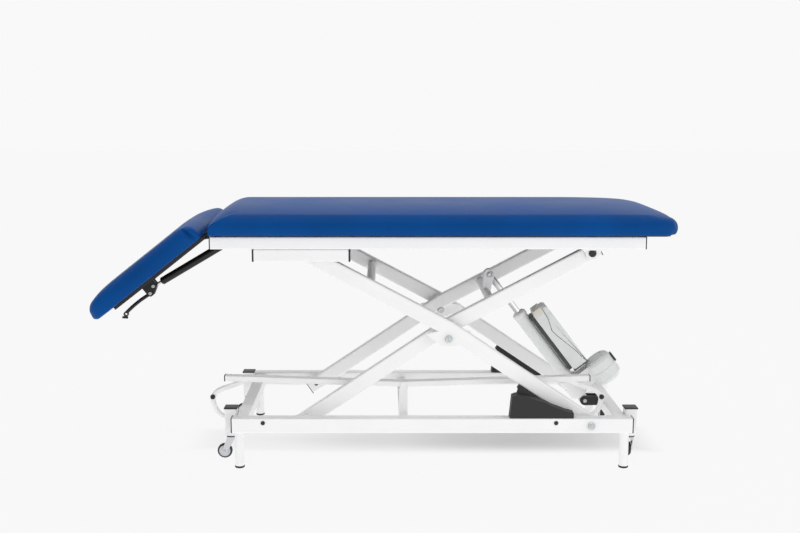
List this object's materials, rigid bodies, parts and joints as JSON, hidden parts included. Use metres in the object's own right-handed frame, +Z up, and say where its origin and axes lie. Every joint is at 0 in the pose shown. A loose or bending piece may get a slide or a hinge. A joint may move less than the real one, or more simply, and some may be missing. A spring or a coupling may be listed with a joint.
{
  "type": "electric therapy couch",
  "caption": "Padded treatment couch on a scissor lift with an electric actuator, a tilting head section on a gas spring, a foot control bar and lifting castors.",
  "frame": {"origin": "the middle of the bottom of the couch's box, on the floor", "axes": "+X towards the foot end, -Y towards the side with the foot bar, +Z up"},
  "size_m": [1.9228, 0.6566, 0.8471],
  "materials": {
    "white_paint": "satin",
    "zinc": "satin",
    "steel": "polished",
    "black_steel": "satin",
    "black_plastic": "matte",
    "black_rubber": "matte",
    "wheel_rubber": "matte",
    "grey_plastic": "satin",
    "board": "matte",
    "vinyl": "satin"
  },
  "bodies": {
    "base": {"base_rail_near": "white_paint", "base_rail_far": "white_paint", "leg_near_left": "white_paint", "leg_near_right": "white_paint", "leg_far_left": "white_paint", "leg_far_right": "white_paint", "castor_post_near_left": "white_paint", "castor_post_near_right": "white_paint", "castor_post_far_left": "white_paint", "castor_post_far_right": "white_paint", "end_beam_left": "white_paint", "end_beam_right": "white_paint", "middle_beam": "white_paint", "base_pivot_bolt_near": "zinc", "base_pivot_bolt_far": "zinc", "guard_near": "black_plastic", "guard_far": "black_plastic", "rubber_foot_near_left": "black_rubber", "rubber_foot_near_right": "black_rubber", "rubber_foot_far_left": "black_rubber", "rubber_foot_far_right": "black_rubber"},
    "outer_arms": {"outer_arm_near": "white_paint", "outer_arm_far": "white_paint", "outer_cross_tube": "white_paint", "centre_bolt_near": "zinc", "centre_bolt_far": "zinc"},
    "inner_arms": {"inner_arm_near": "white_paint", "inner_arm_far": "white_paint", "inner_cross_tube": "white_paint"},
    "lower_slides": {"lower_slide_near": "black_plastic", "lower_slide_far": "black_plastic"},
    "upper_slides": {"upper_slide_near": "black_plastic", "upper_slide_far": "black_plastic"},
    "top_frame": {"top_rail_near": "white_paint", "top_rail_far": "white_paint", "guide_channel_near": "white_paint", "guide_channel_far": "white_paint", "top_cross_tube_left": "white_paint", "top_cross_tube_right": "white_paint", "deck_board": "board", "main_cushion": "vinyl", "top_pivot_bolt_near": "black_steel", "top_pivot_bolt_far": "black_steel"},
    "head_section": {"head_pan": "black_steel", "head_cushion": "vinyl"},
    "gas_cylinder": {"gas_spring_cylinder": "black_steel"},
    "gas_rod": {"gas_spring_rod": "steel"},
    "release_lever": {"release_lever": "black_steel"},
    "actuator": {"actuator_body": "grey_plastic", "control_box": "grey_plastic"},
    "actuator_rod": {"actuator_rod": "steel"},
    "foot_bar": {"foot_bar": "white_paint"},
    "castor_fork_near_left": {"castor_fork_near_left": "steel"},
    "castor_wheel_near_left": {"castor_wheel_near_left": "wheel_rubber"},
    "castor_fork_near_right": {"castor_fork_near_right": "steel"},
    "castor_wheel_near_right": {"castor_wheel_near_right": "wheel_rubber"},
    "castor_fork_far_left": {"castor_fork_far_left": "steel"},
    "castor_wheel_far_left": {"castor_wheel_far_left": "wheel_rubber"},
    "castor_fork_far_right": {"castor_fork_far_right": "steel"},
    "castor_wheel_far_right": {"castor_wheel_far_right": "wheel_rubber"}
  },
  "joints": [
    {"name": "lift", "type": "hinge", "parent": "base", "child": "outer_arms", "pos_m": [0.68637, 0, 0.147], "axis": [0, 1, 0], "range_deg": [-18, 7]},
    {"name": "scissor", "type": "hinge", "parent": "outer_arms", "child": "inner_arms", "pos_m": [0.21938, 0, 0.42759], "axis": [0, 1, 0], "range_deg": [-14, 36]},
    {"name": "top_level", "type": "hinge", "parent": "inner_arms", "child": "top_frame", "pos_m": [0.68637, 0, 0.70818], "axis": [0, 1, 0], "range_deg": [-18, 7]},
    {"name": "upper_slide", "type": "hinge", "parent": "outer_arms", "child": "upper_slides", "pos_m": [-0.2476, 0, 0.70818], "axis": [0, 1, 0], "range_deg": [-7, 18]},
    {"name": "lower_slide", "type": "hinge", "parent": "inner_arms", "child": "lower_slides", "pos_m": [-0.2476, 0, 0.147], "axis": [0, 1, 0], "range_deg": [-18, 7]},
    {"name": "actuator_tilt", "type": "hinge", "parent": "base", "child": "actuator", "pos_m": [0.72037, 0, 0.147], "axis": [0, 1, 0], "range_deg": [-17.37, 6.75]},
    {"name": "actuator_stroke", "type": "slide", "parent": "actuator", "child": "actuator_rod", "axis": [-0.607, 0, 0.7947], "range_m": [-0.13509, 0.05253]},
    {"name": "head_tilt", "type": "hinge", "parent": "top_frame", "child": "head_section", "pos_m": [-0.56163, 0, 0.76199], "axis": [0, 1, 0], "range_deg": [-1, 53]},
    {"name": "gas_spring_tilt", "type": "hinge", "parent": "top_frame", "child": "gas_cylinder", "pos_m": [-0.53763, 0, 0.71198], "axis": [0, 1, 0], "range_deg": [-0.95, 50.62]},
    {"name": "gas_spring_stroke", "type": "slide", "parent": "gas_cylinder", "child": "gas_rod", "axis": [-0.8607, 0, -0.5091], "range_m": [-0.00092, 0.04856]},
    {"name": "release", "type": "hinge", "parent": "head_section", "child": "release_lever", "pos_m": [-0.81055, 0, 0.53175], "axis": [0, 1, 0], "range_deg": [0, 12], "stiffness_Nm_per_rad": 1, "springref_deg": -11.46},
    {"name": "foot_rock", "type": "hinge", "parent": "base", "child": "foot_bar", "pos_m": [0.07277, -0.17, 0.2514], "axis": [0, 1, 0], "range_deg": [-2, 2], "stiffness_Nm_per_rad": 150},
    {"name": "castor_swivel_near_left", "type": "hinge", "parent": "base", "child": "castor_fork_near_left", "pos_m": [-0.50323, -0.24, 0.09], "axis": [0, 0, 1], "continuous": true},
    {"name": "castor_spin_near_left", "type": "hinge", "parent": "castor_fork_near_left", "child": "castor_wheel_near_left", "pos_m": [-0.52723, -0.24, 0.038], "axis": [0, 1, 0], "continuous": true},
    {"name": "castor_swivel_near_right", "type": "hinge", "parent": "base", "child": "castor_fork_near_right", "pos_m": [0.82977, -0.24, 0.09], "axis": [0, 0, 1], "continuous": true},
    {"name": "castor_spin_near_right", "type": "hinge", "parent": "castor_fork_near_right", "child": "castor_wheel_near_right", "pos_m": [0.82977, -0.216, 0.038], "axis": [1, 0, 0], "continuous": true},
    {"name": "castor_swivel_far_left", "type": "hinge", "parent": "base", "child": "castor_fork_far_left", "pos_m": [-0.50323, 0.24, 0.09], "axis": [0, 0, 1], "continuous": true},
    {"name": "castor_spin_far_left", "type": "hinge", "parent": "castor_fork_far_left", "child": "castor_wheel_far_left", "pos_m": [-0.52723, 0.24, 0.038], "axis": [0, 1, 0], "continuous": true},
    {"name": "castor_swivel_far_right", "type": "hinge", "parent": "base", "child": "castor_fork_far_right", "pos_m": [0.82977, 0.24, 0.09], "axis": [0, 0, 1], "continuous": true},
    {"name": "castor_spin_far_right", "type": "hinge", "parent": "castor_fork_far_right", "child": "castor_wheel_far_right", "pos_m": [0.82977, 0.216, 0.038], "axis": [-1, 0, 0], "continuous": true}
  ],
  "couplings": [
    {"joint": "scissor", "follows": "lift", "ratio": -2},
    {"joint": "top_level", "follows": "lift", "ratio": 1},
    {"joint": "upper_slide", "follows": "lift", "ratio": -1},
    {"joint": "lower_slide", "follows": "lift", "ratio": 1},
    {"joint": "actuator_tilt", "follows": "lift", "ratio": 0.965},
    {"joint": "actuator_stroke", "follows": "lift", "m_per_rad": 0.43},
    {"joint": "gas_spring_tilt", "follows": "head_tilt", "ratio": 0.955},
    {"joint": "gas_spring_stroke", "follows": "head_tilt", "m_per_rad": 0.0525}
  ]
}
